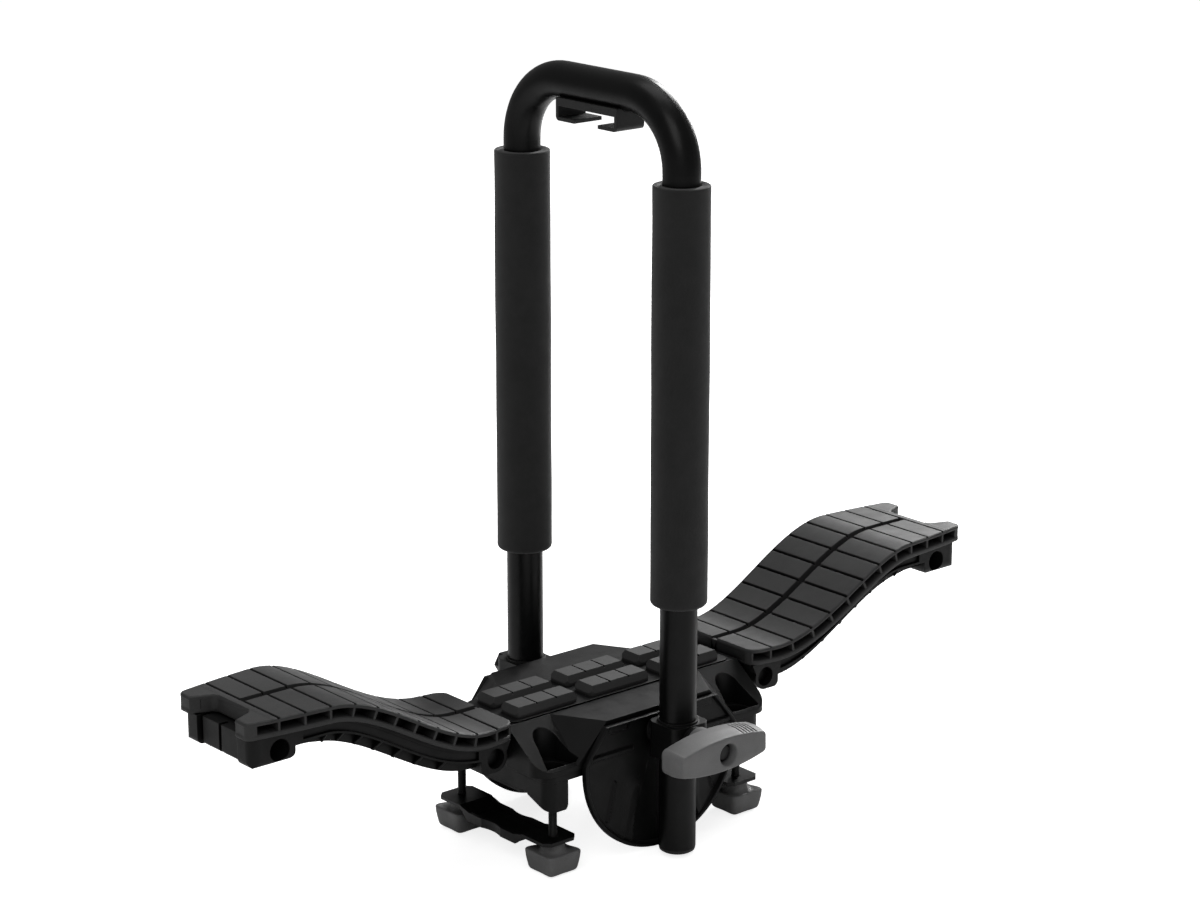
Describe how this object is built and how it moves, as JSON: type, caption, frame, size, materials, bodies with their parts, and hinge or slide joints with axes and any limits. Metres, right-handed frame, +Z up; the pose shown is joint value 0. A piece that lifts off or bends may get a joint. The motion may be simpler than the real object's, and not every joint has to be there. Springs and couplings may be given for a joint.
{
  "type": "folding roof boat carrier",
  "caption": "Crossbar-mounted boat carrier with a padded U-shaped upright, two curved padded wings, side shields, a tee handle and underside clamp straps with knobs.",
  "frame": {"origin": "centre of the rubber contact face that rests on the crossbar", "axes": "+X along the crossbar towards the right wing, +Y away from the tee handle, +Z up"},
  "size_m": [0.64, 0.24, 0.5301],
  "materials": {
    "moulded_nylon": "fine spark texture, semi-matte",
    "collar_nylon": "semi-matte",
    "wing_nylon": "semi-matte",
    "pad_rubber": "finely grained rubber",
    "seat_rubber": "plain rubber",
    "foam": "closed-cell foam skin, matte",
    "tube_coating": "satin black powder coat",
    "plug_plastic": "satin",
    "black_steel": "black e-coat, satin",
    "zinc_steel": "zinc plated",
    "bush_plastic": "natural nylon",
    "handle_plastic": "mid grey, lightly textured",
    "knob_plastic": "dark grey, lightly textured"
  },
  "bodies": {
    "base": {"base_housing": "moulded_nylon", "top_cover": "moulded_nylon", "cover_screws": "zinc_steel", "top_pads": "pad_rubber", "crossbar_pad": "seat_rubber", "front_shield": "moulded_nylon", "rear_shield": "moulded_nylon", "clamp_bolts": "black_steel", "hinge_pins": "black_steel", "pin_retainers": "black_steel", "pivot_shaft": "black_steel", "shaft_bushes": "bush_plastic", "friction_discs": "bush_plastic", "shaft_nut": "black_steel"},
    "upright": {"front_collar": "collar_nylon", "rear_collar": "collar_nylon", "upright_tube": "tube_coating", "front_foam_sleeve": "foam", "rear_foam_sleeve": "foam", "tube_plugs": "plug_plastic", "strap_guide": "plug_plastic", "guide_rivets": "black_steel"},
    "washer": {"thrust_washer": "black_steel"},
    "tee": {"tee_handle": "handle_plastic", "handle_insert": "black_steel"},
    "left_wing": {"left_wing_frame": "wing_nylon", "left_wing_pad": "pad_rubber"},
    "right_wing": {"right_wing_frame": "wing_nylon", "right_wing_pad": "pad_rubber"},
    "left_clamp": {"left_clamp_strap": "black_steel"},
    "right_clamp": {"right_clamp_strap": "black_steel"},
    "front_left_turn": {"front_left_knob": "knob_plastic", "front_left_knob_nut": "zinc_steel"},
    "rear_left_turn": {"rear_left_knob": "knob_plastic", "rear_left_knob_nut": "zinc_steel"},
    "front_right_turn": {"front_right_knob": "knob_plastic", "front_right_knob_nut": "zinc_steel"},
    "rear_right_turn": {"rear_right_knob": "knob_plastic", "rear_right_knob_nut": "zinc_steel"}
  },
  "joints": [
    {"name": "upright_fold", "type": "hinge", "parent": "base", "child": "upright", "pos_m": [0, 0, 0.033], "axis": [0, 1, 0], "range_deg": [-90, 90]},
    {"name": "tee_travel", "type": "slide", "parent": "base", "child": "washer", "axis": [0, -1, 0], "range_m": [0, 0.003]},
    {"name": "tee_turn", "type": "hinge", "parent": "washer", "child": "tee", "pos_m": [0, -0.112, 0.033], "axis": [0, -1, 0], "range_deg": [0, 720]},
    {"name": "left_wing_tilt", "type": "hinge", "parent": "base", "child": "left_wing", "pos_m": [-0.1225, 0, 0.033], "axis": [0, 1, 0], "range_deg": [-10, 10]},
    {"name": "right_wing_tilt", "type": "hinge", "parent": "base", "child": "right_wing", "pos_m": [0.1225, 0, 0.033], "axis": [0, -1, 0], "range_deg": [-10, 10]},
    {"name": "left_clamp_lift", "type": "slide", "parent": "base", "child": "left_clamp", "axis": [0, 0, 1], "range_m": [0, 0.01]},
    {"name": "right_clamp_lift", "type": "slide", "parent": "base", "child": "right_clamp", "axis": [0, 0, 1], "range_m": [0, 0.01]},
    {"name": "front_left_knob_turn", "type": "hinge", "parent": "left_clamp", "child": "front_left_turn", "pos_m": [-0.0837, -0.0496, -0.04], "axis": [0, 0, 1], "range_deg": [0, 3600]},
    {"name": "rear_left_knob_turn", "type": "hinge", "parent": "left_clamp", "child": "rear_left_turn", "pos_m": [-0.0837, 0.0496, -0.04], "axis": [0, 0, 1], "range_deg": [0, 3600]},
    {"name": "front_right_knob_turn", "type": "hinge", "parent": "right_clamp", "child": "front_right_turn", "pos_m": [0.0837, -0.0496, -0.04], "axis": [0, 0, 1], "range_deg": [0, 3600]},
    {"name": "rear_right_knob_turn", "type": "hinge", "parent": "right_clamp", "child": "rear_right_turn", "pos_m": [0.0837, 0.0496, -0.04], "axis": [0, 0, 1], "range_deg": [0, 3600]}
  ],
  "couplings": [
    {"joint": "tee_turn", "follows": "tee_travel", "rad_per_m": 4188.7},
    {"joint": "front_left_knob_turn", "follows": "left_clamp_lift", "rad_per_m": 6283.1},
    {"joint": "rear_left_knob_turn", "follows": "left_clamp_lift", "rad_per_m": 6283.1},
    {"joint": "front_right_knob_turn", "follows": "right_clamp_lift", "rad_per_m": 6283.1},
    {"joint": "rear_right_knob_turn", "follows": "right_clamp_lift", "rad_per_m": 6283.1}
  ]
}
